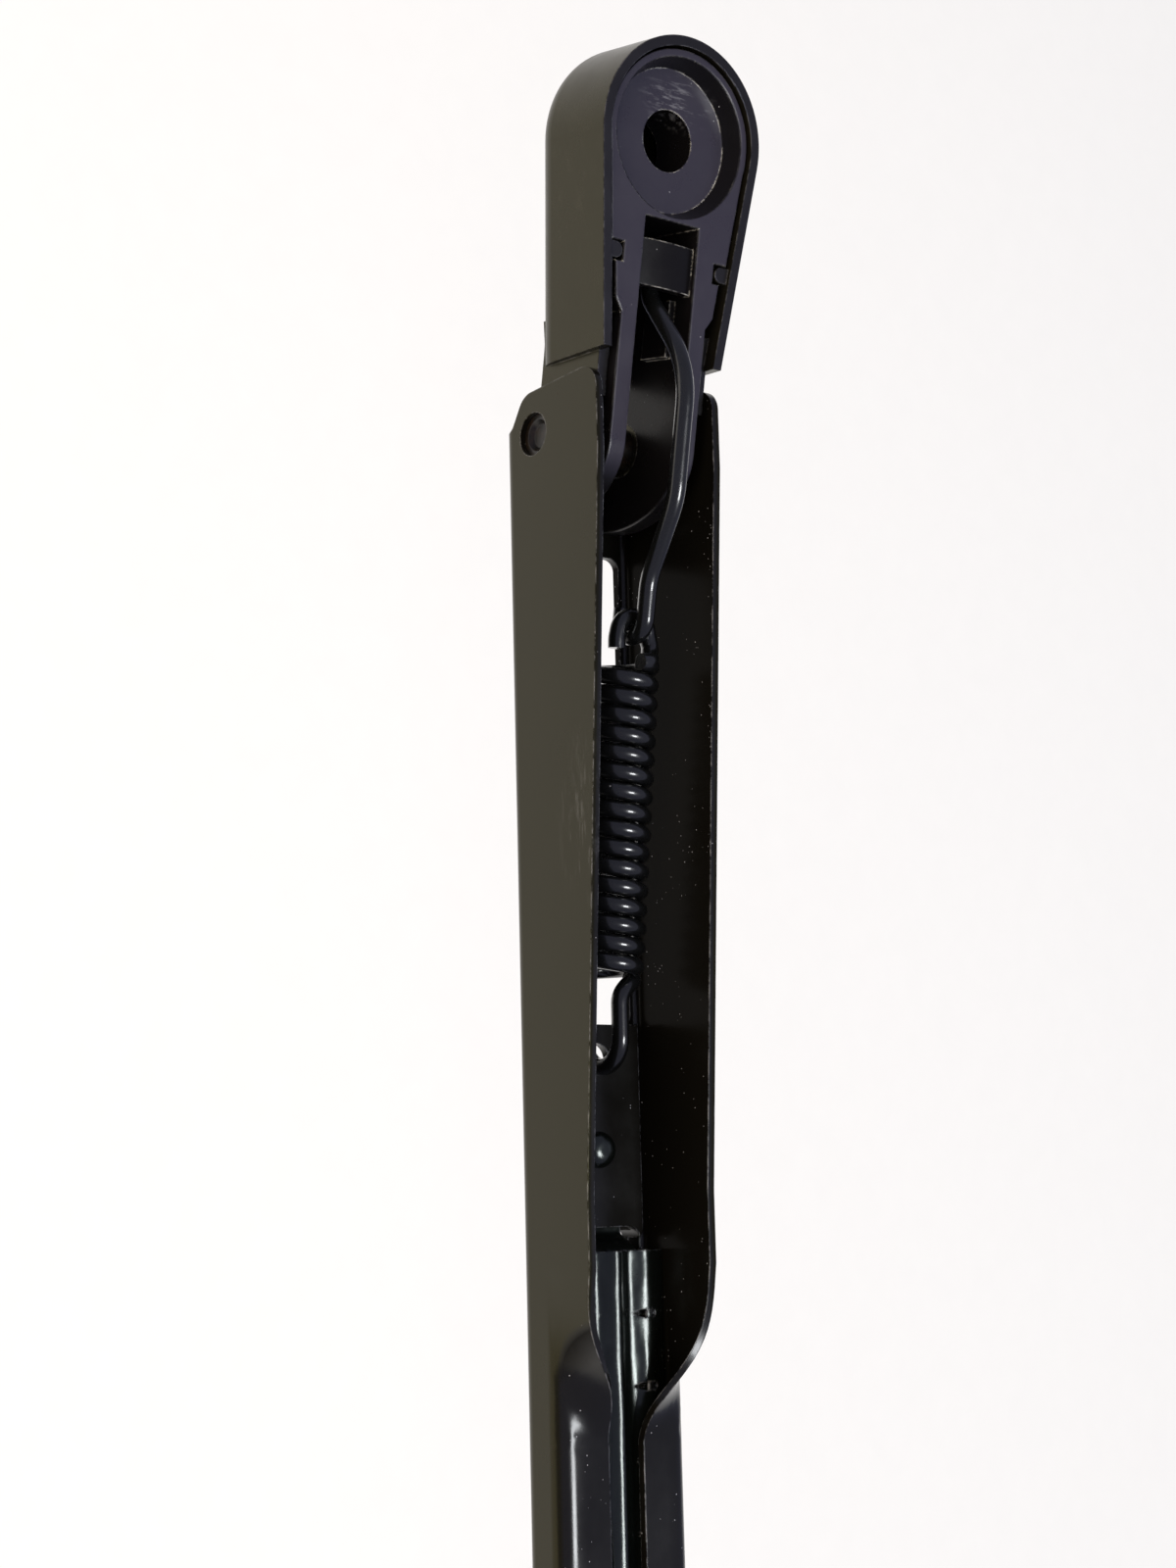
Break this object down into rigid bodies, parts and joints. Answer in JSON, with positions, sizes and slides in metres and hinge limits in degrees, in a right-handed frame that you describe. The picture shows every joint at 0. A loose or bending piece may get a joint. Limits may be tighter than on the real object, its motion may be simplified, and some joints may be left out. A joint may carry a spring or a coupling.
{
  "type": "windscreen wiper arm",
  "caption": "Windscreen wiper arm with a hinged die-cast head, spring-loaded pressed channel, flat rod and a plain blade hook at the tip.",
  "frame": {"origin": "centre of the spindle bore at its seat, the floor of the recess in the head", "axes": "+X along the arm from the spindle to the tip, +Y to the right with the underside seen and the head at the top, +Z out of the underside, towards the glass; the arm lies on its flat top face"},
  "size_m": [0.4782, 0.033, 0.0371],
  "materials": {
    "casting": "satin",
    "cover": "satin",
    "steel": "satin",
    "bush": "matte",
    "pressing": "satin",
    "wire": "gloss",
    "socket": "gloss"
  },
  "bodies": {
    "head": {"head_casting": "casting", "head_cover": "cover", "hinge_bush_left": "bush", "hinge_bush_right": "bush"},
    "arm": {"retainer": "pressing", "hinge_pin": "steel", "rod_socket": "socket", "socket_rivet": "steel", "arm_rod": "pressing"},
    "hook": {"c_hook": "wire"},
    "spring": {"tension_spring": "wire"}
  },
  "joints": [
    {"name": "arm_lift", "type": "hinge", "parent": "head", "child": "arm", "pos_m": [0.04693, 0, -0.02149], "axis": [0, 1, 0], "range_deg": [0, 42], "stiffness_Nm_per_rad": 0.3, "springref_deg": -28.65},
    {"name": "hook_swing", "type": "hinge", "parent": "head", "child": "hook", "pos_m": [0.01967, 0, -0.00901], "axis": [0, 1, 0], "range_deg": [0, 34]},
    {"name": "spring_swing", "type": "hinge", "parent": "arm", "child": "spring", "pos_m": [0.14753, 0, -0.02599], "axis": [0, 1, 0], "range_deg": [-10, 0], "deforming": ["tension_spring"]}
  ],
  "couplings": [
    {"joint": "hook_swing", "follows": "arm_lift", "ratio": 0.773},
    {"joint": "spring_swing", "follows": "arm_lift", "ratio": -0.227}
  ]
}
